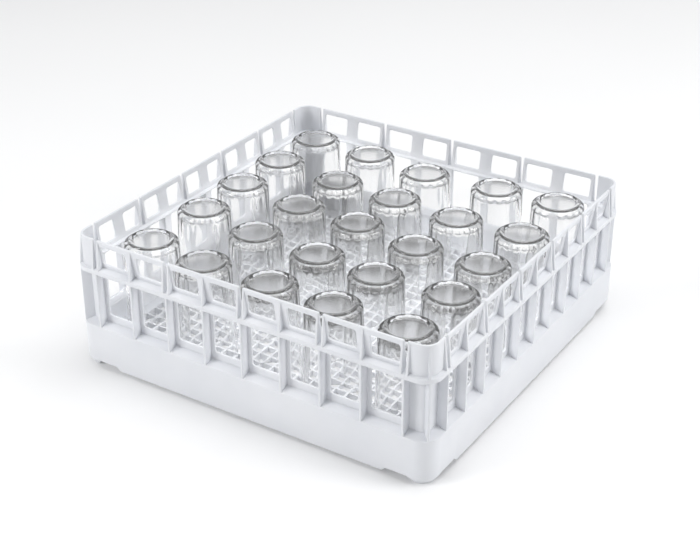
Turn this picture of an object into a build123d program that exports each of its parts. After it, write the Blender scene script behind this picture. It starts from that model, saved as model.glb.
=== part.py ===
from build123d import *
import math
import os

# Square glasswasher rack, moulded in plastic, loaded with upturned tumblers.
# Millimetres, +Z up. The origin is on the ground under the middle of the rack.
# The front wall faces -Y and the right wall faces +X.
#
# Every wall has the same section. Going up it is a skirt in the outer plane, a
# ledge that steps in to the recessed window wall, a band with a turned-down lip
# that steps out again, and an upper wall that leans out towards its rim. Slits
# cut the upper wall into panels, with an upright post round each corner.

# ---- driving dimensions of the rack ----
RACK_WIDTH = 403.0              # over the skirt and the lip
RACK_HEIGHT = 143.7
SKIN = 2.4                      # moulded wall thickness
CORNER_RADIUS = 18.0            # outside of the skirt, in plan

SKIRT_BOTTOM = 3.8              # middle of each side
NOTCH_BOTTOM = 7.3              # raised stretch beside each foot
NOTCH_START = 152.0             # from the middle of the side
SKIRT_TOP = 48.0                # outer edge of the ledge
LEDGE_TOP = 51.5                # inner edge of the ledge
RECESS = 10.0                   # skirt face to window wall face

WINDOW_BOTTOM = 59.0
LOWER_WINDOW_MARGIN = 5.0       # fin centre to window edge
LOWER_WINDOW_RADIUS = 3.0
FIN_THICKNESS = 2.4

BAND_UNDERSIDE = 111.0
LIP_BOTTOM = 107.0
LIP_TOP = 111.8
BAND_TOP = 114.0
PANEL_FOOT_INSET = 7.0          # lip face to the foot of the leaning upper wall
PANEL_RIM_INSET = 3.0           # lip face to its rim
POST_INSET = 3.5                # lip face to the upright corner posts

OUTER_SLIT = 172.5              # middle of a side to the slit nearest a corner
SLIT_WIDTH = 4.0
UPPER_WINDOW_BOTTOM = 117.5
UPPER_WINDOW_TOP = 137.7
UPPER_WINDOW_RADIUS = 3.0
PANEL_MARGIN = 3.8              # slit to upper window
HALF_CENTRE_BAR = 7.0           # middle of a panel to its windows
RIB_TOP = 142.0

FLOOR_TOP = 20.0
FLOOR_DEPTH = 6.0
FLOOR_PITCH = 14.5
FLOOR_BAR = 2.2
FLOOR_CELLS = 26                # each way

FOOT_START = 178.5              # from the middle of the side
FOOT_DRAFT = 5.0                # how far a foot leans in on its way down
FOOT_DEPTH = 5.0                # thickness of the foot pad

# ---- driving dimensions of one tumbler, standing on its mouth ----
TUMBLER_HEIGHT = 106.8
BASE_RADIUS = 27.5
MOUTH_RADIUS = 30.0
GLASS_AT_MOUTH = 2.0
GLASS_AT_BASE = 3.2
BASE_THICKNESS = 10.0
BASE_EDGE_RADIUS = 4.5
CAVITY_EDGE_RADIUS = 7.0
DISH_RADIUS = 17.5
DISH_DEPTH = 1.5
TUMBLER_PITCH = 75.0
TUMBLERS_PER_SIDE = 5
STANDING_GAP = 0.2              # under the mouth, above the floor bars

# How far each tumbler was set down from its place on the grid, (x, y). The key
# is (row, column), rows from the front wall and columns from the left wall.
SET_DOWN = {
    (1, 1): (-1, 9), (1, 2): (-5, 0), (1, 3): (-3, 1), (1, 4): (-6, -1), (1, 5): (-2, -1),
    (2, 1): (-1, 18), (2, 2): (1, 2), (2, 3): (3, -3), (2, 4): (-3, -7), (2, 5): (0, -2),
    (3, 1): (-4, 14), (3, 2): (2, 2), (3, 3): (0, 0), (3, 4): (0, -12), (3, 5): (-2, -10),
    (4, 1): (-4, 9), (4, 2): (4, -2), (4, 3): (3, -6), (4, 4): (4, -12), (4, 5): (1, -8),
    (5, 1): (-3, 4), (5, 2): (-3, 0), (5, 3): (-2, -10), (5, 4): (6, -2), (5, 5): (1, 0),
}

# ---- sizes that follow ----
FACE = RACK_WIDTH / 2                   # outer plane of skirt, fins and lip
SKIRT_INSIDE = FACE - SKIN
WINDOW_FACE = FACE - RECESS
WINDOW_INSIDE = WINDOW_FACE - SKIN
PANEL_FOOT = FACE - PANEL_FOOT_INSET
PANEL_RIM = FACE - PANEL_RIM_INSET
POST_FACE = FACE - POST_INSET
POST_INSIDE = POST_FACE - SKIN
CORNER_START = FACE - CORNER_RADIUS     # where the straight walls end
POST_START = OUTER_SLIT + SLIT_WIDTH / 2

os.makedirs("parts", exist_ok=True)

# name: (outward direction, lower windows, upper panels)
SIDES = {
    "front": ((0, -1), 8, 4),
    "right": ((1, 0), 10, 5),
    "back": ((0, 1), 8, 4),
    "left": ((-1, 0), 10, 5),
}
# name: outward direction of the first of its two walls, going round counter-clockwise
CORNERS = {
    "front_right": (0, -1),
    "back_right": (1, 0),
    "back_left": (0, 1),
    "front_left": (-1, 0),
}


def section_plane(outward, along=0.0):
    """Cross-section of a wall: local x is the distance out from the middle, y is up."""
    nx, ny = outward
    return Plane(origin=(-ny * along, nx * along, 0), x_dir=(nx, ny, 0), z_dir=(ny, -nx, 0))


def wall_plane(outward, distance):
    """Parallel to a wall: local x runs along it, y is up, the normal faces out."""
    nx, ny = outward
    return Plane(origin=(nx * distance, ny * distance, 0), x_dir=(-ny, nx, 0), z_dir=(nx, ny, 0))


def corner_centre(outward):
    """Centre of a corner's arcs, from the outward direction of its first wall."""
    nx, ny = outward
    return Vector((nx - ny) * CORNER_START, (ny + nx) * CORNER_START, 0)


def corner_plane(outward, angle):
    """Radial section of a corner: local x is the distance from the arc centre."""
    direction = Vector(*outward, 0).rotate(Axis.Z, angle)
    upright = Vector(0, 0, 1)
    return Plane(origin=corner_centre(outward), x_dir=direction, z_dir=direction.cross(upright))


def save(part, name):
    part.label = name
    export_step(part, f"parts/{name}.step")


def skirt_section(bottom):
    return [
        (FACE, bottom),
        (FACE, SKIRT_TOP),
        (WINDOW_FACE, LEDGE_TOP),
        (WINDOW_INSIDE, LEDGE_TOP),
        (WINDOW_INSIDE, LEDGE_TOP - SKIN),
        (SKIRT_INSIDE, SKIRT_TOP - SKIN),
        (SKIRT_INSIDE, bottom),
    ]


def band_height(x):
    """Top of the band where it slopes down from the panels to the lip."""
    return LIP_TOP + (BAND_TOP - LIP_TOP) * (FACE - x) / (FACE - PANEL_FOOT)


def panel_face(z):
    """Outer face of the leaning upper wall at a height."""
    return PANEL_FOOT + (PANEL_RIM - PANEL_FOOT) * (z - BAND_TOP) / (RACK_HEIGHT - BAND_TOP)


BAND_SECTION = [
    (FACE, LIP_BOTTOM),
    (FACE, LIP_TOP),
    (PANEL_FOOT, BAND_TOP),
    (WINDOW_INSIDE, BAND_TOP),
    (WINDOW_INSIDE, BAND_UNDERSIDE),
    (SKIRT_INSIDE, BAND_UNDERSIDE),
    (SKIRT_INSIDE, LIP_BOTTOM),
]
FIN_SECTION = [
    (WINDOW_FACE, LEDGE_TOP),
    (FACE, SKIRT_TOP),
    (FACE, LIP_BOTTOM),
    (SKIRT_INSIDE, LIP_BOTTOM),
    (SKIRT_INSIDE, BAND_UNDERSIDE),
    (WINDOW_FACE, BAND_UNDERSIDE),
]
PANEL_SECTION = [
    (PANEL_FOOT, BAND_TOP),
    (PANEL_RIM, RACK_HEIGHT),
    (PANEL_RIM - SKIN, RACK_HEIGHT),
    (PANEL_FOOT - SKIN, BAND_TOP),
]
PANEL_RIB_SECTION = [
    (PANEL_FOOT, BAND_TOP),
    (FACE, LIP_TOP),
    (panel_face(RIB_TOP), RIB_TOP),
]
# Window wall and band in one outline, for the corners.
POST_SECTION = [
    (WINDOW_INSIDE, LEDGE_TOP),
    (WINDOW_FACE, LEDGE_TOP),
    (WINDOW_FACE, BAND_UNDERSIDE),
    (SKIRT_INSIDE, BAND_UNDERSIDE),
    (SKIRT_INSIDE, LIP_BOTTOM),
    (FACE, LIP_BOTTOM),
    (FACE, LIP_TOP),
    (PANEL_FOOT, BAND_TOP),
    (WINDOW_INSIDE, BAND_TOP),
]
POST_TOP_SECTION = [
    (POST_FACE, band_height(POST_FACE)),
    (POST_FACE, RACK_HEIGHT),
    (POST_INSIDE, RACK_HEIGHT),
    (POST_INSIDE, band_height(POST_INSIDE)),
]
POST_RIB_SECTION = [
    (POST_FACE, band_height(POST_FACE)),
    (FACE, LIP_TOP),
    (POST_FACE, RIB_TOP),
]
FOOT_SECTION = [
    (FACE, NOTCH_BOTTOM),
    (FACE - FOOT_DRAFT, 0),
    (FACE - FOOT_DRAFT - FOOT_DEPTH, 0),
    (FACE - FOOT_DEPTH, NOTCH_BOTTOM),
]


def outline(points, shift=0.0):
    """Draw a closed outline in the current sketch, moved in by shift."""
    Polygon(*[(x - shift, z) for x, z in points], align=None)


def between_slits(panels):
    """Centres of the slits along a wall."""
    pitch = 2 * OUTER_SLIT / panels
    return [-OUTER_SLIT + pitch * i for i in range(panels + 1)]


# ---- floor ----
with BuildPart() as floor_grid:
    with BuildSketch(Plane.XY.offset(FLOOR_TOP - FLOOR_DEPTH)):
        RectangleRounded(2 * SKIRT_INSIDE, 2 * SKIRT_INSIDE, CORNER_RADIUS - SKIN)
        with GridLocations(FLOOR_PITCH, FLOOR_PITCH, FLOOR_CELLS, FLOOR_CELLS):
            Rectangle(FLOOR_PITCH - FLOOR_BAR, FLOOR_PITCH - FLOOR_BAR, mode=Mode.SUBTRACT)
    extrude(amount=FLOOR_DEPTH, clean=False)
save(floor_grid.part, "floor_grid")


# ---- straight walls ----
for side, (outward, lower_windows, panels) in SIDES.items():
    section = section_plane(outward)

    with BuildPart() as skirt:
        with BuildSketch(section):
            outline(skirt_section(SKIRT_BOTTOM))
        extrude(amount=CORNER_START, both=True)
        # raised stretch beside each foot, with a sloping step
        with BuildSketch(wall_plane(outward, FACE)):
            for end in (-1, 1):
                with BuildLine():
                    Polyline(
                        (end * (NOTCH_START + NOTCH_BOTTOM - SKIRT_BOTTOM), NOTCH_BOTTOM),
                        (end * NOTCH_START, SKIRT_BOTTOM),
                        (end * NOTCH_START, 0),
                        (end * FACE, 0),
                        (end * FACE, NOTCH_BOTTOM),
                        close=True,
                    )
                make_face()
        extrude(amount=-RECESS, mode=Mode.SUBTRACT)
    save(skirt.part, f"skirt_{side}")

    with BuildPart() as sill:
        with BuildSketch(wall_plane(outward, WINDOW_INSIDE)):
            with Locations((0, (LEDGE_TOP + WINDOW_BOTTOM) / 2)):
                Rectangle(2 * CORNER_START, WINDOW_BOTTOM - LEDGE_TOP)
        extrude(amount=SKIN)
    save(sill.part, f"sill_{side}")

    # Each fin stands in front of the strip of wall between two windows. The windows
    # run up under the band, so only their lower corners are round.
    fin_pitch = 2 * OUTER_SLIT / lower_windows
    window_width = fin_pitch - 2 * LOWER_WINDOW_MARGIN
    window_height = 2 * (BAND_UNDERSIDE - WINDOW_BOTTOM)
    with BuildPart() as fins:
        with BuildSketch(wall_plane(outward, WINDOW_INSIDE)):
            with Locations((0, (WINDOW_BOTTOM + BAND_UNDERSIDE) / 2)):
                Rectangle(2 * CORNER_START, BAND_UNDERSIDE - WINDOW_BOTTOM)
            with Locations((0, BAND_UNDERSIDE)):
                with GridLocations(fin_pitch, 1, lower_windows, 1):
                    RectangleRounded(
                        window_width, window_height, LOWER_WINDOW_RADIUS, mode=Mode.SUBTRACT
                    )
        extrude(amount=SKIN)
        for i in range(lower_windows + 1):
            with BuildSketch(section_plane(outward, i * fin_pitch - OUTER_SLIT)):
                outline(FIN_SECTION)
            extrude(amount=FIN_THICKNESS / 2, both=True)
    save(fins.part, f"fins_{side}")

    with BuildPart() as band:
        with BuildSketch(section):
            outline(BAND_SECTION)
        extrude(amount=CORNER_START, both=True)
    save(band.part, f"band_{side}")

    slits = between_slits(panels)
    half_panel = (slits[1] - slits[0] - SLIT_WIDTH) / 2
    upper_window_width = half_panel - HALF_CENTRE_BAR - PANEL_MARGIN
    window_centre = HALF_CENTRE_BAR + upper_window_width / 2
    window_middle = (UPPER_WINDOW_BOTTOM + UPPER_WINDOW_TOP) / 2
    with BuildPart() as upper_panels:
        for left_slit, right_slit in zip(slits[:-1], slits[1:]):
            centre = (left_slit + right_slit) / 2
            with BuildSketch(section_plane(outward, centre)):
                outline(PANEL_SECTION)
            extrude(amount=half_panel, both=True)
            with BuildSketch(wall_plane(outward, FACE)):
                with Locations(
                    (centre - window_centre, window_middle),
                    (centre + window_centre, window_middle),
                ):
                    RectangleRounded(
                        upper_window_width,
                        UPPER_WINDOW_TOP - UPPER_WINDOW_BOTTOM,
                        UPPER_WINDOW_RADIUS,
                    )
            extrude(amount=-2 * RECESS, mode=Mode.SUBTRACT)
            end_rib = half_panel - FIN_THICKNESS / 2
            for offset in (-end_rib, 0, end_rib):
                with BuildSketch(section_plane(outward, centre + offset)):
                    outline(PANEL_RIB_SECTION)
                extrude(amount=FIN_THICKNESS / 2, both=True)
    save(upper_panels.part, f"upper_panels_{side}")


# ---- corners ----
# The flat rib and fin in the middle of a corner reach into the curved walls by this much.
RIB_ROOT = SKIN / 2
CORNER_RIB_SECTION = [
    (POST_FACE - RIB_ROOT, LIP_TOP - RIB_ROOT),
    (FACE - RIB_ROOT, LIP_TOP - RIB_ROOT),
    (FACE - RIB_ROOT, band_height(FACE - RIB_ROOT)),
    (POST_FACE, RIB_TOP),
    (POST_FACE - RIB_ROOT, RIB_TOP),
]
CORNER_FIN_SECTION = FIN_SECTION + [
    (WINDOW_FACE - RIB_ROOT, BAND_UNDERSIDE),
    (WINDOW_FACE - RIB_ROOT, LEDGE_TOP),
]

for corner, outward in CORNERS.items():
    axis = Axis(corner_centre(outward), (0, 0, 1))
    # its two walls, and which end of each it stands at
    walls = ((outward, 1), ((-outward[1], outward[0]), -1))

    with BuildPart() as corner_base:
        with BuildSketch(corner_plane(outward, 0)):
            outline(skirt_section(NOTCH_BOTTOM), CORNER_START)
        revolve(axis=axis, revolution_arc=90)
        with BuildSketch(corner_plane(outward, 0)):
            outline(FOOT_SECTION, CORNER_START)
        revolve(axis=axis, revolution_arc=90)
        for wall, end in walls:
            with BuildSketch(section_plane(wall, end * FOOT_START)):
                outline(FOOT_SECTION)
            extrude(amount=end * (FOOT_START - CORNER_START))
    save(corner_base.part, f"corner_base_{corner}")

    with BuildPart() as corner_post:
        with BuildSketch(corner_plane(outward, 0)):
            outline(POST_SECTION, CORNER_START)
        revolve(axis=axis, revolution_arc=90)
        with BuildSketch(corner_plane(outward, 0)):
            outline(POST_TOP_SECTION, CORNER_START)
        revolve(axis=axis, revolution_arc=90)
        for wall, end in walls:
            with BuildSketch(section_plane(wall, end * POST_START)):
                outline(POST_TOP_SECTION)
            extrude(amount=end * (POST_START - CORNER_START))
            with BuildSketch(section_plane(wall, end * (POST_START + FIN_THICKNESS / 2))):
                outline(POST_RIB_SECTION)
            extrude(amount=FIN_THICKNESS / 2, both=True)
        for section in (CORNER_RIB_SECTION, CORNER_FIN_SECTION):
            with BuildSketch(corner_plane(outward, 45)):
                outline(section, CORNER_START)
            extrude(amount=FIN_THICKNESS / 2, both=True)
    save(corner_post.part, f"corner_post_{corner}")


# ---- tumblers ----
cavity_top = TUMBLER_HEIGHT - BASE_THICKNESS
base_inside = BASE_RADIUS - GLASS_AT_BASE
mouth_inside = MOUTH_RADIUS - GLASS_AT_MOUTH
lip_radius = GLASS_AT_MOUTH / 2
base_edge = BASE_RADIUS - BASE_EDGE_RADIUS
cavity_edge = base_inside - CAVITY_EDGE_RADIUS
middle_place = (TUMBLERS_PER_SIDE + 1) / 2


def dish_height(radius):
    """Height of the hollow in the base, part of a large sphere."""
    sphere = (DISH_RADIUS**2 + DISH_DEPTH**2) / (2 * DISH_DEPTH)
    return TUMBLER_HEIGHT - DISH_DEPTH + sphere - math.sqrt(sphere**2 - radius**2)


for (row, column), (shift_x, shift_y) in SET_DOWN.items():
    place = Vector(
        (column - middle_place) * TUMBLER_PITCH + shift_x,
        (row - middle_place) * TUMBLER_PITCH + shift_y,
        FLOOR_TOP + STANDING_GAP,
    )
    # half of the section: x from the centre line, y up from the mouth
    with BuildPart() as tumbler:
        with BuildSketch(Plane(origin=place, x_dir=(1, 0, 0), z_dir=(0, -1, 0))):
            with BuildLine():
                Line((0, cavity_top), (cavity_edge, cavity_top))
                ThreePointArc(
                    (cavity_edge, cavity_top),
                    (
                        cavity_edge + CAVITY_EDGE_RADIUS * math.sin(math.pi / 4),
                        cavity_top - CAVITY_EDGE_RADIUS * (1 - math.cos(math.pi / 4)),
                    ),
                    (base_inside, cavity_top - CAVITY_EDGE_RADIUS),
                )
                Line((base_inside, cavity_top - CAVITY_EDGE_RADIUS), (mouth_inside, lip_radius))
                ThreePointArc(
                    (mouth_inside, lip_radius),
                    (MOUTH_RADIUS - lip_radius, 0),
                    (MOUTH_RADIUS, lip_radius),
                )
                Line((MOUTH_RADIUS, lip_radius), (BASE_RADIUS, TUMBLER_HEIGHT - BASE_EDGE_RADIUS))
                ThreePointArc(
                    (BASE_RADIUS, TUMBLER_HEIGHT - BASE_EDGE_RADIUS),
                    (
                        base_edge + BASE_EDGE_RADIUS * math.cos(math.pi / 4),
                        TUMBLER_HEIGHT - BASE_EDGE_RADIUS * (1 - math.sin(math.pi / 4)),
                    ),
                    (base_edge, TUMBLER_HEIGHT),
                )
                Line((base_edge, TUMBLER_HEIGHT), (DISH_RADIUS, TUMBLER_HEIGHT))
                ThreePointArc(
                    (DISH_RADIUS, TUMBLER_HEIGHT),
                    (DISH_RADIUS / 2, dish_height(DISH_RADIUS / 2)),
                    (0, dish_height(0)),
                )
                Line((0, dish_height(0)), (0, cavity_top))
            make_face()
        revolve(axis=Axis(place, (0, 0, 1)), revolution_arc=360)
    save(tumbler.part, f"tumbler_{row}_{column}")
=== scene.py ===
import math

import bmesh
import bpy
from mathutils import Matrix, Vector


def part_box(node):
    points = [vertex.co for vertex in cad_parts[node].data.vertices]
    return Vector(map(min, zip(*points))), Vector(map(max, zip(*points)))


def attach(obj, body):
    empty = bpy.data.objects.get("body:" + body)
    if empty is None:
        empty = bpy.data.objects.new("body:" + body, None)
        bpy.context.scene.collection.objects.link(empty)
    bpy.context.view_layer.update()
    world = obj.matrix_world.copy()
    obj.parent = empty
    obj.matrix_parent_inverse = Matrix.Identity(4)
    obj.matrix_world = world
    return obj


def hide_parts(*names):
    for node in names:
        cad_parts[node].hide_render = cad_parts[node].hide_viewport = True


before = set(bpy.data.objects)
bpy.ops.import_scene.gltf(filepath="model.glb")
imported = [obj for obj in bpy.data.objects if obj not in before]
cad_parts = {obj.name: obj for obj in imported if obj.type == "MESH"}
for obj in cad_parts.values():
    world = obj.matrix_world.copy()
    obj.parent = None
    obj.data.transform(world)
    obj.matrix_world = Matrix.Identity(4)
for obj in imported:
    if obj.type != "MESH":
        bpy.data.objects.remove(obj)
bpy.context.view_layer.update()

# A moulded plastic glasswasher rack with upturned glass tumblers, on a pale floor.
# Everything is in metres, in the frame of the CAD model.
MM = 0.001

# ---- sizes read from the frame ----
SKIRT_LOW, SKIRT_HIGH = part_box("skirt_front")
SILL_LOW, SILL_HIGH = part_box("sill_front")
_, FINS_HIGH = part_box("fins_front")
BAND_LOW, BAND_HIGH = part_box("band_front")
_, PANELS_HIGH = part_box("upper_panels_front")
FLOOR_LOW, FLOOR_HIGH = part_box("floor_grid")
FOOT_LOW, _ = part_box("corner_base_front_right")

FACE = -SKIRT_LOW.y                      # outer plane of skirt, fins and lip
CORNER_START = SKIRT_HIGH.x              # where the straight walls end
SKIRT_BOTTOM = SKIRT_LOW.z
LEDGE_TOP = SILL_LOW.z
WINDOW_BOTTOM = SILL_HIGH.z
WINDOW_FACE = -SILL_LOW.y
WINDOW_INSIDE = -SILL_HIGH.y
SKIN = WINDOW_FACE - WINDOW_INSIDE
LIP_BOTTOM = BAND_LOW.z
BAND_TOP = BAND_HIGH.z
BAND_UNDERSIDE = FINS_HIGH.z
PANEL_FOOT = SKIN - PANELS_HIGH.y        # where the leaning upper wall starts
RACK_HEIGHT = PANELS_HIGH.z
LAST_PANEL_END = PANELS_HIGH.x
FLOOR_HALF = FLOOR_HIGH.x
FOOT_BOTTOM = FOOT_LOW.z
FOOT_START = FOOT_LOW.x

# ---- sizes of the rack that the boxes don't give ----
NOTCH_BOTTOM = 7.3 * MM
NOTCH_START = 152 * MM
SKIRT_TOP = 48 * MM
LIP_TOP = 111.8 * MM
PANEL_RIM_INSET = 3 * MM
POST_INSET = 3.5 * MM
RIB_TOP = 142 * MM
SLIT_WIDTH = 4 * MM
OUTER_SLIT = LAST_PANEL_END + SLIT_WIDTH / 2
FIN_THICKNESS = 2.4 * MM
LOWER_WINDOW_MARGIN = 5 * MM
UPPER_WINDOW_LOW = 117.5 * MM
UPPER_WINDOW_HIGH = 137.7 * MM
WINDOW_RADIUS = 3 * MM
PANEL_MARGIN = 3.8 * MM
HALF_CENTRE_BAR = 7 * MM
FLOOR_PITCH = 14.5 * MM
FLOOR_BAR = 2.2 * MM
FLOOR_CELLS = 26
FOOT_DRAFT = 5 * MM              # how far a foot leans in
FOOT_DEPTH = 5 * MM
FOOT_ROOT = 1.5 * MM             # how far a foot runs up into the skirt
FOOT_END_LIFT = 0.9              # part of a foot's height that its ends are cut back by
FOOT_EDGE = 0.5 * MM
EDGE = 0.55 * MM                 # how far moulded edges are rounded
RIB_EDGE = 0.4 * MM
RIB_TIP = 0.2 * MM               # how far a rib stands out at its top
PROFILE_EDGE = 0.8 * MM          # rounding of the skirt's and band's sections
BAND_FOOT = 0.8 * MM             # height of the band's upright inner edge
PANEL_CORNER = 1 * MM
FLOOR_EDGE = 0.5 * MM
CORNER_WALL_TAIL = 12 * MM       # straight wall on each side of a corner's arc
SINK = 0.6 * MM                  # how far one region runs into the next
CLOSE = 0.06 * MM                # keeps two skins that overlap from lying in one plane

SKIRT_INSIDE = FACE - SKIN
CORNER_RADIUS = FACE - CORNER_START
PANEL_RIM = FACE - PANEL_RIM_INSET
POST_FACE = FACE - POST_INSET
POST_START = OUTER_SLIT + SLIT_WIDTH / 2

# name: (outward direction, lower windows, upper panels)
SIDES = {
    "front": ((0, -1), 8, 4),
    "right": ((1, 0), 10, 5),
    "back": ((0, 1), 8, 4),
    "left": ((-1, 0), 10, 5),
}
CORNERS = {
    "front_right": (0, -1),
    "back_right": (1, 0),
    "back_left": (0, 1),
    "front_left": (-1, 0),
}
ARC_STEPS = 14
HALF_EDGE = 0.45                 # most of an outline's edge that a rounded corner may use
WINDOW_CORNER_STEPS = 6
SHARP_ANGLE = math.radians(40)   # edges that turn more than this stay crisp
MERGE_DISTANCE = 0.01 * MM


# ---- materials ----
def new_material(name):
    """A node material, with what its maker needs to build on."""
    material = bpy.data.materials.new(name)
    material.use_nodes = True
    nodes = material.node_tree.nodes
    return material, nodes, material.node_tree.links, nodes["Principled BSDF"]


def noise(nodes, links, vector, scale, detail=3.0):
    """Smooth noise over the object's own coordinates, mostly 0.3 to 0.7."""
    node = nodes.new("ShaderNodeTexNoise")
    node.inputs["Scale"].default_value = scale
    node.inputs["Detail"].default_value = detail
    links.new(vector, node.inputs["Vector"])
    return node.outputs["Fac"]


def remap(nodes, links, value, low, high):
    """Noise stretched to run from low to high."""
    node = nodes.new("ShaderNodeMapRange")
    node.inputs["From Min"].default_value = 0.3
    node.inputs["From Max"].default_value = 0.7
    node.inputs["To Min"].default_value = low
    node.inputs["To Max"].default_value = high
    links.new(value, node.inputs["Value"])
    return node.outputs["Result"]


def rack_plastic():
    """Pale blue-grey polypropylene: satin, faintly mottled, with a fine moulded grain."""
    material, nodes, links, shader = new_material("rack_plastic")
    place = nodes.new("ShaderNodeTexCoord").outputs["Object"]
    clouds = noise(nodes, links, place, 14.0, 4.0)
    tint = nodes.new("ShaderNodeMix")
    tint.data_type = "RGBA"
    tint.inputs["A"].default_value = (0.748, 0.764, 0.798, 1)
    tint.inputs["B"].default_value = (0.802, 0.813, 0.842, 1)
    links.new(remap(nodes, links, clouds, 0, 1), tint.inputs["Factor"])
    links.new(tint.outputs["Result"], shader.inputs["Base Color"])
    grain = noise(nodes, links, place, 900.0, 2.0)
    links.new(remap(nodes, links, grain, 0.34, 0.46), shader.inputs["Roughness"])
    waves = noise(nodes, links, place, 45.0, 1.0)
    height = nodes.new("ShaderNodeMath")
    height.operation = "MULTIPLY_ADD"
    height.inputs[1].default_value = 6.0
    links.new(waves, height.inputs[0])
    links.new(grain, height.inputs[2])
    bump = nodes.new("ShaderNodeBump")
    bump.inputs["Strength"].default_value = 0.12
    bump.inputs["Distance"].default_value = 0.00006
    links.new(height.outputs["Value"], bump.inputs["Height"])
    links.new(bump.outputs["Normal"], shader.inputs["Normal"])
    shader.inputs["IOR"].default_value = 1.49
    shader.inputs["Subsurface Weight"].default_value = 0.08
    shader.inputs["Subsurface Radius"].default_value = (0.004, 0.004, 0.0045)
    shader.inputs["Subsurface Scale"].default_value = 1.0
    return material


def tumbler_glass(name, roughness):
    """Clear pressed glass with the slight waviness of a moulded tumbler."""
    material, nodes, links, shader = new_material(name)
    shader.inputs["Base Color"].default_value = (0.998, 0.999, 1.0, 1)
    shader.inputs["Roughness"].default_value = roughness
    shader.inputs["IOR"].default_value = 1.5
    shader.inputs["Transmission Weight"].default_value = 0.98
    place = nodes.new("ShaderNodeTexCoord").outputs["Object"]
    waves = noise(nodes, links, place, 60.0, 1.5)
    bump = nodes.new("ShaderNodeBump")
    bump.inputs["Strength"].default_value = 0.12
    bump.inputs["Distance"].default_value = 0.0004
    links.new(waves, bump.inputs["Height"])
    links.new(bump.outputs["Normal"], shader.inputs["Normal"])
    # lamps shine through the glass
    clear = nodes.new("ShaderNodeBsdfTransparent")
    clear.inputs["Color"].default_value = (0.99, 0.99, 0.99, 1)
    path = nodes.new("ShaderNodeLightPath")
    mix = nodes.new("ShaderNodeMixShader")
    links.new(path.outputs["Is Shadow Ray"], mix.inputs["Fac"])
    links.new(shader.outputs["BSDF"], mix.inputs[1])
    links.new(clear.outputs["BSDF"], mix.inputs[2])
    links.new(mix.outputs["Shader"], nodes["Material Output"].inputs["Surface"])
    return material


def floor_paint():
    """The pale studio floor."""
    material, nodes, links, shader = new_material("studio_floor")
    place = nodes.new("ShaderNodeTexCoord").outputs["Object"]
    clouds = noise(nodes, links, place, 3.0)
    links.new(remap(nodes, links, clouds, 0.55, 0.65), shader.inputs["Roughness"])
    shader.inputs["Base Color"].default_value = (0.93, 0.93, 0.93, 1)
    shader.inputs["Specular IOR Level"].default_value = 0.2
    return material


PLASTIC = rack_plastic()
GLASS = tumbler_glass("tumbler_glass", 0.0)
STIPPLED_GLASS = tumbler_glass("tumbler_base_glass", 0.14)


# ---- building blocks ----
def round_corners(points, radius, steps=3):
    """A closed outline with each corner replaced by a short arc."""
    made = []
    count = len(points)
    for i, corner in enumerate(points):
        corner = Vector(corner)
        back = Vector(points[i - 1]) - corner
        ahead = Vector(points[(i + 1) % count]) - corner
        turn = back.angle(ahead)
        reach = min(radius / math.tan(turn / 2), HALF_EDGE * min(back.length, ahead.length))
        start = corner + back.normalized() * reach
        end = corner + ahead.normalized() * reach
        for k in range(steps + 1):
            s = k / steps
            made.append(start * (1 - s) ** 2 + corner * (2 * s * (1 - s)) + end * s**2)
    return made


def station(outward, along):
    """Where a straight wall's section starts, and which way it points."""
    nx, ny = outward
    return Vector((-ny * along, nx * along, 0)), Vector((nx, ny, 0))


def corner_station(outward, angle):
    """The same on a corner's arc, angle after its first wall."""
    nx, ny = outward
    centre = Vector((nx - ny, ny + nx, 0)) * CORNER_START
    direction = Matrix.Rotation(angle, 3, "Z") @ Vector((nx, ny, 0))
    return centre - direction * CORNER_START, direction


def sweep(bm, sections, stations, closed):
    """Skin a row of outlines, each set at its own station."""
    rings = []
    for outline, (start, direction) in zip(sections, stations):
        ring = [bm.verts.new(start + direction * out + Vector((0, 0, z))) for out, z in outline]
        rings.append(ring)
    spans = list(zip(rings, rings[1:]))
    if closed:
        spans.append((rings[-1], rings[0]))
    for first, second in spans:
        for i in range(len(first)):
            j = (i + 1) % len(first)
            bm.faces.new((first[i], first[j], second[j], second[i]))
    if not closed:
        bm.faces.new(rings[0])
        bm.faces.new(list(reversed(rings[-1])))


def rectangle(low, high):
    """The four corners of a rectangle, anticlockwise."""
    return [(low[0], low[1]), (high[0], low[1]), (high[0], high[1]), (low[0], high[1])]


def plate(outline, holes, thickness, edge=EDGE):
    """A flat moulded plate with rounded edges, in its own XY plane."""
    curve = bpy.data.curves.new("plate", "CURVE")
    curve.dimensions = "2D"
    curve.fill_mode = "BOTH"
    curve.extrude = thickness / 2 - edge
    curve.bevel_depth = edge
    curve.bevel_resolution = 2
    curve.offset = -edge
    for loop in [outline] + holes:
        spline = curve.splines.new("POLY")
        spline.points.add(len(loop) - 1)
        for point, (x, y) in zip(spline.points, loop):
            point.co = (x, y, 0, 1)
        spline.use_cyclic_u = True
    holder = bpy.data.objects.new("plate", curve)
    bpy.context.scene.collection.objects.link(holder)
    bpy.context.view_layer.update()
    mesh = bpy.data.meshes.new_from_object(
        holder.evaluated_get(bpy.context.evaluated_depsgraph_get())
    )
    bpy.data.objects.remove(holder)
    bpy.data.curves.remove(curve)
    return mesh


def wall_matrix(outward, distance):
    """A plate's place when it is a wall: x along the wall, y up, facing out."""
    nx, ny = outward
    place = Matrix(((-ny, 0, nx), (nx, 0, ny), (0, 1, 0))).to_4x4()
    place.translation = Vector((nx, ny, 0)) * distance
    return place


def section_matrix(start, direction):
    """A plate's place when it is a fin: x outwards, y up, thickness along the wall."""
    up = Vector((0, 0, 1))
    side = direction.cross(up)
    place = Matrix((direction, up, side)).transposed().to_4x4()
    place.translation = start
    return place


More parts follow.
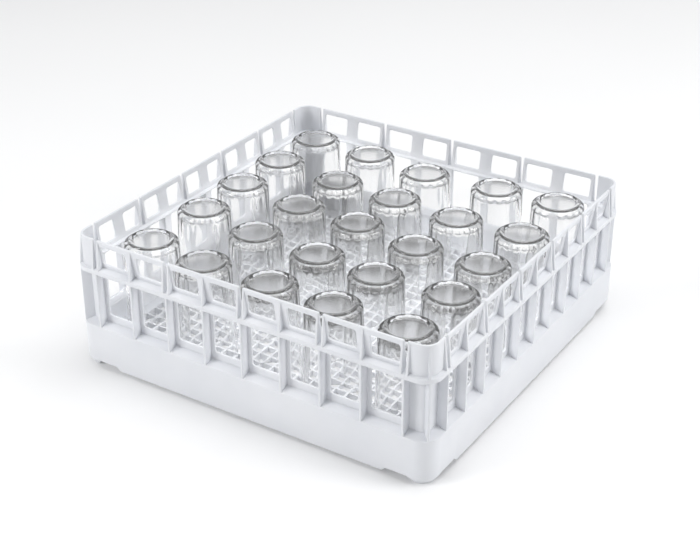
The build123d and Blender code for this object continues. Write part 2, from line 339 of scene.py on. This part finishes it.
def put(bm, mesh, matrix):
    """Add a copy of a mesh to bm at a place."""
    first = len(bm.verts)
    bm.from_mesh(mesh)
    bm.verts.ensure_lookup_table()
    bmesh.ops.transform(bm, matrix=matrix, verts=bm.verts[first:])


def piece(name, bm, material, body, nodes):
    """Finish a mesh as a piece of the object that stands for CAD nodes."""
    bmesh.ops.remove_doubles(bm, verts=bm.verts, dist=MERGE_DISTANCE)
    bmesh.ops.recalc_face_normals(bm, faces=bm.faces)
    mesh = bpy.data.meshes.new(name)
    bm.to_mesh(mesh)
    bm.free()
    mesh.materials.append(material)
    mesh.shade_smooth()
    mesh.set_sharp_from_angle(angle=SHARP_ANGLE)
    made = bpy.data.objects.new(name, mesh)
    bpy.context.scene.collection.objects.link(made)
    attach(made, body)
    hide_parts(*nodes)


def ring_stations(side_places):
    """Stations all the way round the rack, with a value for each."""
    stations = []
    values = []
    for outward, _, _ in SIDES.values():
        for along, value in side_places:
            stations.append(station(outward, along))
            values.append(value)
        for i in range(1, ARC_STEPS):
            stations.append(corner_station(outward, math.pi / 2 * i / ARC_STEPS))
            values.append(side_places[-1][1])
    return stations, values


# ---- skirt with its ledge, a closed ring ----
def skirt_outline(bottom):
    """Section of the skirt and its ledge, (out, z)."""
    points = [
        (FACE, bottom),
        (FACE, SKIRT_TOP),
        (WINDOW_FACE, LEDGE_TOP),
        (WINDOW_INSIDE, LEDGE_TOP),
        (WINDOW_INSIDE, LEDGE_TOP - SKIN),
        (SKIRT_INSIDE, SKIRT_TOP - SKIN),
        (SKIRT_INSIDE, bottom),
    ]
    return round_corners(points, PROFILE_EDGE)


def make_skirt():
    """The skirt with its ledge; its bottom steps up beside the feet."""
    step = NOTCH_BOTTOM - SKIRT_BOTTOM
    side_places = [
        (-CORNER_START, NOTCH_BOTTOM),
        (-NOTCH_START - step, NOTCH_BOTTOM),
        (-NOTCH_START, SKIRT_BOTTOM),
        (NOTCH_START, SKIRT_BOTTOM),
        (NOTCH_START + step, NOTCH_BOTTOM),
        (CORNER_START, NOTCH_BOTTOM),
    ]
    stations, bottoms = ring_stations(side_places)
    bm = bmesh.new()
    sweep(bm, [skirt_outline(b) for b in bottoms], stations, closed=True)
    nodes = [f"skirt_{side}" for side in SIDES]
    piece("rack_skirt", bm, PLASTIC, "rack", nodes)


def arc_stations(outward, before):
    """Stations round a corner, with a straight stretch before and after it."""
    nx, ny = outward
    next_side = (-ny, nx)
    start = CORNER_START - before
    made = [station(outward, start)]
    for i in range(ARC_STEPS + 1):
        made.append(corner_station(outward, math.pi / 2 * i / ARC_STEPS))
    made.append(station(next_side, -start))
    return made


def make_feet():
    """Slanted feet that lean in on their way down, with their ends rounded off."""
    bm = bmesh.new()
    rise = NOTCH_BOTTOM - FOOT_BOTTOM
    for outward in CORNERS.values():
        stations = arc_stations(outward, CORNER_START - FOOT_START)
        sections = []
        for i in range(len(stations)):
            lift = FOOT_END_LIFT * rise if i in (0, len(stations) - 1) else 0
            lean = FOOT_DRAFT * (1 - lift / rise)
            points = [
                (FACE - CLOSE, NOTCH_BOTTOM + FOOT_ROOT),
                (FACE - CLOSE, NOTCH_BOTTOM),
                (FACE - CLOSE - lean, FOOT_BOTTOM + lift),
                (FACE - CLOSE - lean - FOOT_DEPTH, FOOT_BOTTOM + lift),
                (FACE - FOOT_DEPTH, NOTCH_BOTTOM),
                (FACE - FOOT_DEPTH, NOTCH_BOTTOM + FOOT_ROOT),
            ]
            sections.append(round_corners(points, FOOT_EDGE))
        sweep(bm, sections, stations, closed=False)
    nodes = [f"corner_base_{corner}" for corner in CORNERS]
    piece("rack_feet", bm, PLASTIC, "rack", nodes)


# ---- window walls ----
def rounded_hole(low, high, radius):
    """A window, drawn clockwise."""
    return list(reversed(round_corners(rectangle(low, high), radius, WINDOW_CORNER_STEPS)))


def make_window_walls():
    """The lower walls, one plate a side, with their windows cut out."""
    bm = bmesh.new()
    for outward, windows, _ in SIDES.values():
        pitch = 2 * OUTER_SLIT / windows
        half = pitch / 2 - LOWER_WINDOW_MARGIN
        centres = [(i + 0.5) * pitch - OUTER_SLIT for i in range(windows)]
        top = BAND_UNDERSIDE + SINK
        holes = [
            rounded_hole((c - half, WINDOW_BOTTOM), (c + half, top), WINDOW_RADIUS)
            for c in centres
        ]
        outline = rectangle((-OUTER_SLIT, LEDGE_TOP - SINK), (OUTER_SLIT, top + 2 * SINK))
        wall = plate(outline, holes, SKIN)
        put(bm, wall, wall_matrix(outward, (WINDOW_FACE + WINDOW_INSIDE) / 2))
        bpy.data.meshes.remove(wall)
    nodes = [f"sill_{side}" for side in SIDES]
    piece("rack_window_walls", bm, PLASTIC, "rack", nodes)


def make_fins():
    """Upright fins between the lower windows, and one on each corner."""
    outline = [
        (WINDOW_FACE - SINK, LEDGE_TOP - SINK),
        (FACE - CLOSE, SKIRT_TOP - SINK),
        (FACE - CLOSE, LIP_BOTTOM + SINK),
        (SKIRT_INSIDE + SINK, LIP_BOTTOM + SINK),
        (SKIRT_INSIDE + SINK, BAND_UNDERSIDE + SINK),
        (WINDOW_FACE - SINK, BAND_UNDERSIDE + SINK),
    ]
    fin = plate(outline, [], FIN_THICKNESS)
    bm = bmesh.new()
    for outward, windows, _ in SIDES.values():
        pitch = 2 * OUTER_SLIT / windows
        for i in range(windows + 1):
            put(bm, fin, section_matrix(*station(outward, i * pitch - OUTER_SLIT)))
    for outward in CORNERS.values():
        put(bm, fin, section_matrix(*corner_station(outward, math.pi / 4)))
    bpy.data.meshes.remove(fin)
    nodes = [f"fins_{side}" for side in SIDES]
    piece("rack_fins", bm, PLASTIC, "rack", nodes)


# ---- band, a closed ring ----
def make_band():
    """The band above the windows, with its turned-down lip."""
    points = [
        (FACE, LIP_BOTTOM),
        (FACE, LIP_TOP),
        (PANEL_FOOT, BAND_TOP),
        (PANEL_FOOT - SKIN, BAND_TOP),
        (WINDOW_INSIDE, BAND_UNDERSIDE + BAND_FOOT),
        (WINDOW_INSIDE, BAND_UNDERSIDE),
        (SKIRT_INSIDE, BAND_UNDERSIDE),
        (SKIRT_INSIDE, LIP_BOTTOM),
    ]
    outline = round_corners(points, PROFILE_EDGE)
    stations, _ = ring_stations([(-CORNER_START, 0), (CORNER_START, 0)])
    bm = bmesh.new()
    sweep(bm, [outline] * len(stations), stations, closed=True)
    nodes = [f"band_{side}" for side in SIDES]
    piece("rack_band", bm, PLASTIC, "rack", nodes)


# ---- upper wall: panels with two windows each, tapered ribs, upright corner posts ----
def band_height(out):
    """Top of the band where it slopes down from the panels to the lip."""
    return LIP_TOP + (BAND_TOP - LIP_TOP) * (FACE - out) / (FACE - PANEL_FOOT)


def rib_plate(wall_low, wall_high):
    """A rib against a wall whose face passes through two points, (out, z)."""
    low_out, low_z = wall_low
    high_out, high_z = wall_high
    outline = [
        (low_out - SINK, low_z - SINK),
        (FACE - CLOSE - SINK, LIP_TOP - SINK),
        (FACE - CLOSE, LIP_TOP),
        (high_out + RIB_TIP, high_z),
        (high_out - SINK, high_z),
    ]
    return plate(outline, [], FIN_THICKNESS, RIB_EDGE)


def leaning_matrix(outward, slide):
    """A panel's place: y up the leaning wall, facing out, its foot at y = 0."""
    nx, ny = outward
    lean = PANEL_RIM - PANEL_FOOT
    up = Vector((nx * lean, ny * lean, RACK_HEIGHT - BAND_TOP))
    up.normalize()
    along = Vector((-ny, nx, 0))
    out = along.cross(up)
    place = Matrix((along, up, out)).transposed().to_4x4()
    foot = Vector((nx, ny, 0)) * PANEL_FOOT + Vector((0, 0, BAND_TOP))
    place.translation = foot + along * slide - out * (SKIN / 2)
    return place


def make_upper_panels():
    """Leaning panels, slit apart, each with two windows and three ribs."""
    bm = bmesh.new()
    rise = RACK_HEIGHT - BAND_TOP
    slope = (PANEL_RIM - PANEL_FOOT) / rise
    stretch = math.hypot(1, slope)
    rib_out = PANEL_FOOT + slope * (RIB_TOP - BAND_TOP)
    rib = rib_plate((PANEL_FOOT, BAND_TOP), (rib_out, RIB_TOP))
    for outward, _, panels in SIDES.values():
        pitch = 2 * OUTER_SLIT / panels
        half = (pitch - SLIT_WIDTH) / 2
        far = half - PANEL_MARGIN
        low_z = (UPPER_WINDOW_LOW - BAND_TOP) * stretch
        high_z = (UPPER_WINDOW_HIGH - BAND_TOP) * stretch
        holes = [
            rounded_hole((low, low_z), (high, high_z), WINDOW_RADIUS)
            for low, high in ((-far, -HALF_CENTRE_BAR), (HALF_CENTRE_BAR, far))
        ]
        top = rise * stretch - SKIN * slope
        outline = round_corners(rectangle((-half, -SINK), (half, top)), PANEL_CORNER)
        panel = plate(outline, holes, SKIN)
        for i in range(panels):
            centre = (i + 0.5) * pitch - OUTER_SLIT
            put(bm, panel, leaning_matrix(outward, centre))
            for offset in (FIN_THICKNESS / 2 - half, 0, half - FIN_THICKNESS / 2):
                put(bm, rib, section_matrix(*station(outward, centre + offset)))
        bpy.data.meshes.remove(panel)
    bpy.data.meshes.remove(rib)
    nodes = [f"upper_panels_{side}" for side in SIDES]
    piece("rack_upper_panels", bm, PLASTIC, "rack", nodes)


def make_corner_posts():
    """Round corner walls, upright posts on the band and the posts' ribs."""
    bm = bmesh.new()
    rib = rib_plate((POST_FACE, band_height(POST_FACE)), (POST_FACE, RIB_TOP))
    for outward in CORNERS.values():
        nx, ny = outward
        next_side = (-ny, nx)
        low = (WINDOW_INSIDE + CLOSE, LEDGE_TOP - SINK)
        high = (WINDOW_FACE - CLOSE, BAND_UNDERSIDE + SINK)
        stations = arc_stations(outward, CORNER_WALL_TAIL)
        sweep(bm, [rectangle(low, high)] * len(stations), stations, closed=False)
        low = (POST_FACE - SKIN, band_height(POST_FACE) - SINK)
        outline = round_corners(rectangle(low, (POST_FACE, RACK_HEIGHT)), EDGE)
        stations = arc_stations(outward, CORNER_START - POST_START)
        sweep(bm, [outline] * len(stations), stations, closed=False)
        rib_place = POST_START + FIN_THICKNESS / 2
        put(bm, rib, section_matrix(*station(outward, rib_place)))
        put(bm, rib, section_matrix(*station(next_side, -rib_place)))
        put(bm, rib, section_matrix(*corner_station(outward, math.pi / 4)))
    bpy.data.meshes.remove(rib)
    nodes = [f"corner_post_{corner}" for corner in CORNERS]
    piece("rack_corner_posts", bm, PLASTIC, "rack", nodes)


# ---- floor lattice ----
def make_floor():
    """Crossing bars in one plane, with a rim that meets the skirt all round."""
    bm = bmesh.new()
    half_cell = (FLOOR_PITCH - FLOOR_BAR) / 2
    lines = [-FLOOR_HALF]
    for i in range(FLOOR_CELLS):
        centre = (i - (FLOOR_CELLS - 1) / 2) * FLOOR_PITCH
        lines += [centre - half_cell, centre + half_cell]
    lines.append(FLOOR_HALF)
    levels = (FLOOR_LOW.z, FLOOR_HIGH.z)
    count = len(lines)
    grid = [
        [[bm.verts.new((x, y, z)) for y in lines] for x in lines] for z in levels
    ]

    def is_open(i, j):
        inside = 0 < i < count - 2 and 0 < j < count - 2
        return inside and i % 2 == 1 and j % 2 == 1

    for i in range(count - 1):
        for j in range(count - 1):
            around = ((i, j), (i + 1, j), (i + 1, j + 1), (i, j + 1))
            if not is_open(i, j):
                for level in grid:
                    bm.faces.new([level[a][b] for a, b in around])
                continue
            for (a, b), (c, d) in zip(around, around[1:] + around[:1]):
                low, high = grid
                bm.faces.new((low[a][b], low[c][d], high[c][d], high[a][b]))
    low, high = grid
    rim = [(i, 0) for i in range(count - 1)]
    rim += [(count - 1, j) for j in range(count - 1)]
    rim += [(i, count - 1) for i in range(count - 1, 0, -1)]
    rim += [(0, j) for j in range(count - 1, 0, -1)]
    for (a, b), (c, d) in zip(rim, rim[1:] + rim[:1]):
        bm.faces.new((low[a][b], low[c][d], high[c][d], high[a][b]))
    # pull the square corners in to the rack's own round corners
    centre = FLOOR_HALF - (CORNER_RADIUS - SKIN)
    for vert in bm.verts:
        over = Vector((max(abs(vert.co.x) - centre, 0), max(abs(vert.co.y) - centre, 0)))
        if over.x > 0 and over.y > 0:
            length = min(over.length, CORNER_RADIUS - SKIN)
            over = over.normalized() * length
            vert.co.x = math.copysign(centre + over.x, vert.co.x)
            vert.co.y = math.copysign(centre + over.y, vert.co.y)
    top = FLOOR_HIGH.z - MERGE_DISTANCE
    upper_edges = [
        e for e in bm.edges
        if all(v.co.z > top for v in e.verts) and e.calc_face_angle(0) > 1
    ]
    bmesh.ops.bevel(
        bm, geom=upper_edges, offset=FLOOR_EDGE, segments=2, profile=0.5, affect="EDGES"
    )
    piece("rack_floor", bm, PLASTIC, "rack", ["floor_grid"])


# ---- tumblers ----
FLUTES = 18                      # shallow flutes round the wall, next to the base
FLUTE_DEPTH = 0.45 * MM
FLUTE_LENGTH = 34 * MM
FLUTE_STEP = 0.5 * MM            # from the shoulder to the full depth of the flutes
AROUND = FLUTES * 8
GLASS_AT_MOUTH = 2.0 * MM
GLASS_AT_BASE = 3.2 * MM
BASE_THICKNESS = 6 * MM
BASE_EDGE = 4.5 * MM
CAVITY_EDGE = 5 * MM
BASE_RADIUS = 27.5 * MM
DISH_RADIUS = 17.5 * MM
DISH_DEPTH = 0.8 * MM
BEAD_CENTRE = 20.3 * MM          # the ring that the upright glass stands on
BEAD_RADIUS = 3.2 * MM
BEAD_START = 150                 # degrees from +x, where the dish ends
BEAD_END = 20                    # where the rounded shoulder starts
SHOULDER_START = 82
SHOULDER_DROP = 6.6 * MM         # from the bead to where the straight body starts
DISH_STEPS = 6
ARC_DIVISIONS = 10
TURN_STEP = 0.7                  # radians from one glass to the next


def arc(centre, radius, start, end, steps):
    """Points on an arc, angles in degrees from +x."""
    across, up = centre
    made = []
    for i in range(steps + 1):
        angle = math.radians(start + (end - start) * i / steps)
        made.append((across + radius * math.cos(angle), up + radius * math.sin(angle)))
    return made


def line(start, end, steps):
    """Points between two ends, without the ends."""
    return [
        (start[0] + (end[0] - start[0]) * i / steps, start[1] + (end[1] - start[1]) * i / steps)
        for i in range(1, steps)
    ]


def tumbler_mesh(height, mouth_radius):
    """The glass about its own axis, mouth at z = 0, from the dish down to the cavity."""
    lip = GLASS_AT_MOUTH / 2
    cavity_top = height - BASE_THICKNESS
    inside = BASE_RADIUS - GLASS_AT_BASE
    shoulder = height - SHOULDER_DROP
    dish_edge = height - BEAD_RADIUS / 2
    outer = []
    for i in range(1, DISH_STEPS + 1):
        share = i / DISH_STEPS
        outer.append((DISH_RADIUS * share, dish_edge - DISH_DEPTH * (1 - share**2)))
    bead = (BEAD_CENTRE, height - BEAD_RADIUS)
    outer += arc(bead, BEAD_RADIUS, BEAD_START, BEAD_END, ARC_DIVISIONS)
    outer += arc((BASE_RADIUS - BASE_EDGE, shoulder), BASE_EDGE, SHOULDER_START, 0, ARC_DIVISIONS)
    outer.append((BASE_RADIUS, shoulder - FLUTE_STEP))
    outer += line((BASE_RADIUS, shoulder - FLUTE_STEP), (mouth_radius, lip), 16)
    outer += arc((mouth_radius - lip, lip), lip, 0, -180, 8)
    inner = line((mouth_radius - 2 * lip, lip), (inside, cavity_top - CAVITY_EDGE), 14)
    turn = (inside - CAVITY_EDGE, cavity_top - CAVITY_EDGE)
    inner += arc(turn, CAVITY_EDGE, 0, 90, ARC_DIVISIONS)
    inner += line((inside - CAVITY_EDGE, cavity_top), (0, cavity_top), 5)
    bm = bmesh.new()

    def flute(radius, z, angle, is_inner):
        """How far a flute is let into the wall; flutes fade out down the glass."""
        if is_inner:
            fade = min(radius / inside, 1) ** 2
        else:
            fade = 1.0 if z < shoulder - FLUTE_STEP / 2 else 0.0
        rise = min(max((z - shoulder) / FLUTE_LENGTH + 1, 0), 1)
        return FLUTE_DEPTH * rise * fade * (0.5 + 0.5 * math.cos(FLUTES * angle))

    rings = []
    for is_inner, points in ((False, outer), (True, inner)):
        for radius, z in points:
            ring = []
            for k in range(AROUND):
                angle = 2 * math.pi * k / AROUND
                r = radius - flute(radius, z, angle, is_inner)
                ring.append(bm.verts.new((r * math.cos(angle), r * math.sin(angle), z)))
            rings.append(ring)
    for first, second in zip(rings, rings[1:]):
        for k in range(AROUND):
            m = (k + 1) % AROUND
            bm.faces.new((first[k], second[k], second[m], first[m]))
    for ring, z in ((rings[0], dish_edge - DISH_DEPTH), (rings[-1], cavity_top)):
        pole = bm.verts.new((0, 0, z))
        for k in range(AROUND):
            bm.faces.new((pole, ring[k], ring[(k + 1) % AROUND]))
    for face in bm.faces:
        if all(math.hypot(v.co.x, v.co.y) < DISH_RADIUS + CLOSE for v in face.verts):
            face.material_index = 1
    bmesh.ops.recalc_face_normals(bm, faces=bm.faces)
    mesh = bpy.data.meshes.new("tumbler")
    bm.to_mesh(mesh)
    bm.free()
    mesh.materials.append(GLASS)
    mesh.materials.append(STIPPLED_GLASS)
    return mesh


def make_tumblers():
    """One glass for each tumbler of the frame, turned by a different amount."""
    names = sorted(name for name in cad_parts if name.startswith("tumbler_"))
    low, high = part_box(names[0])
    mesh = tumbler_mesh(high.z - low.z, (high.x - low.x) / 2)
    for i, name in enumerate(names):
        low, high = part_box(name)
        made = bpy.data.objects.new(f"glass_{name}", mesh)
        made.location = ((low.x + high.x) / 2, (low.y + high.y) / 2, low.z)
        made.rotation_euler = (0, 0, i * TURN_STEP)
        bpy.context.scene.collection.objects.link(made)
        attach(made, name)
        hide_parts(name)
    mesh.shade_smooth()


# ---- studio ----
CAMERA_PLACE = (0.678, -1.0813, 0.7647)
CAMERA_AZIMUTH = 32.43           # degrees from the front, towards the right
CAMERA_ELEVATION = 28.95
CAMERA_LENS = 72.8
STUDIO_HALF_SIZE = 6
SURROUND_STRENGTH = 0.36


def make_camera():
    """A fixed camera above the front right corner, looking down at the rack."""
    camera = bpy.data.objects.new("camera", bpy.data.cameras.new("camera"))
    camera.location = CAMERA_PLACE
    azimuth = math.radians(CAMERA_AZIMUTH)
    elevation = math.radians(CAMERA_ELEVATION)
    back = Vector((
        math.sin(azimuth) * math.cos(elevation),
        -math.cos(azimuth) * math.cos(elevation),
        math.sin(elevation),
    ))
    camera.rotation_euler = back.to_track_quat("Z", "Y").to_euler()
    camera.data.lens = CAMERA_LENS
    camera.data.sensor_width = 36
    camera.data.clip_end = 50
    bpy.context.scene.collection.objects.link(camera)
    bpy.context.scene.camera = camera


def make_light(name, place, target, size, power):
    """A soft square lamp aimed at a point."""
    data = bpy.data.lights.new(name, "AREA")
    data.shape = "RECTANGLE"
    data.size = data.size_y = size
    data.energy = power
    lamp = bpy.data.objects.new(name, data)
    lamp.location = place
    lamp.rotation_euler = (Vector(place) - Vector(target)).to_track_quat("Z", "Y").to_euler()
    bpy.context.scene.collection.objects.link(lamp)


def make_studio():
    """A pale floor, an even pale surround and three soft lamps."""
    bm = bmesh.new()
    bmesh.ops.create_grid(bm, x_segments=1, y_segments=1, size=STUDIO_HALF_SIZE)
    mesh = bpy.data.meshes.new("studio_floor")
    bm.to_mesh(mesh)
    bm.free()
    mesh.materials.append(floor_paint())
    ground = bpy.data.objects.new("studio_floor", mesh)
    ground.location.z = FOOT_BOTTOM
    bpy.context.scene.collection.objects.link(ground)

    world = bpy.data.worlds.new("studio")
    world.use_nodes = True
    background = world.node_tree.nodes["Background"]
    background.inputs["Color"].default_value = (0.97, 0.98, 1.0, 1)
    background.inputs["Strength"].default_value = SURROUND_STRENGTH
    bpy.context.scene.world = world

    middle = (0, 0, 0.08)
    make_light("key", (-1.5, -2.0, 1.4), middle, 1.2, 33)
    make_light("top", (0.2, 0.4, 2.6), middle, 2.4, 42)
    make_light("side", (2.3, 0.9, 1.3), middle, 1.2, 27)
    bpy.context.scene.view_settings.view_transform = "Standard"


make_camera()
make_studio()
make_skirt()
make_feet()
make_window_walls()
make_fins()
make_band()
make_upper_panels()
make_corner_posts()
make_floor()
make_tumblers()
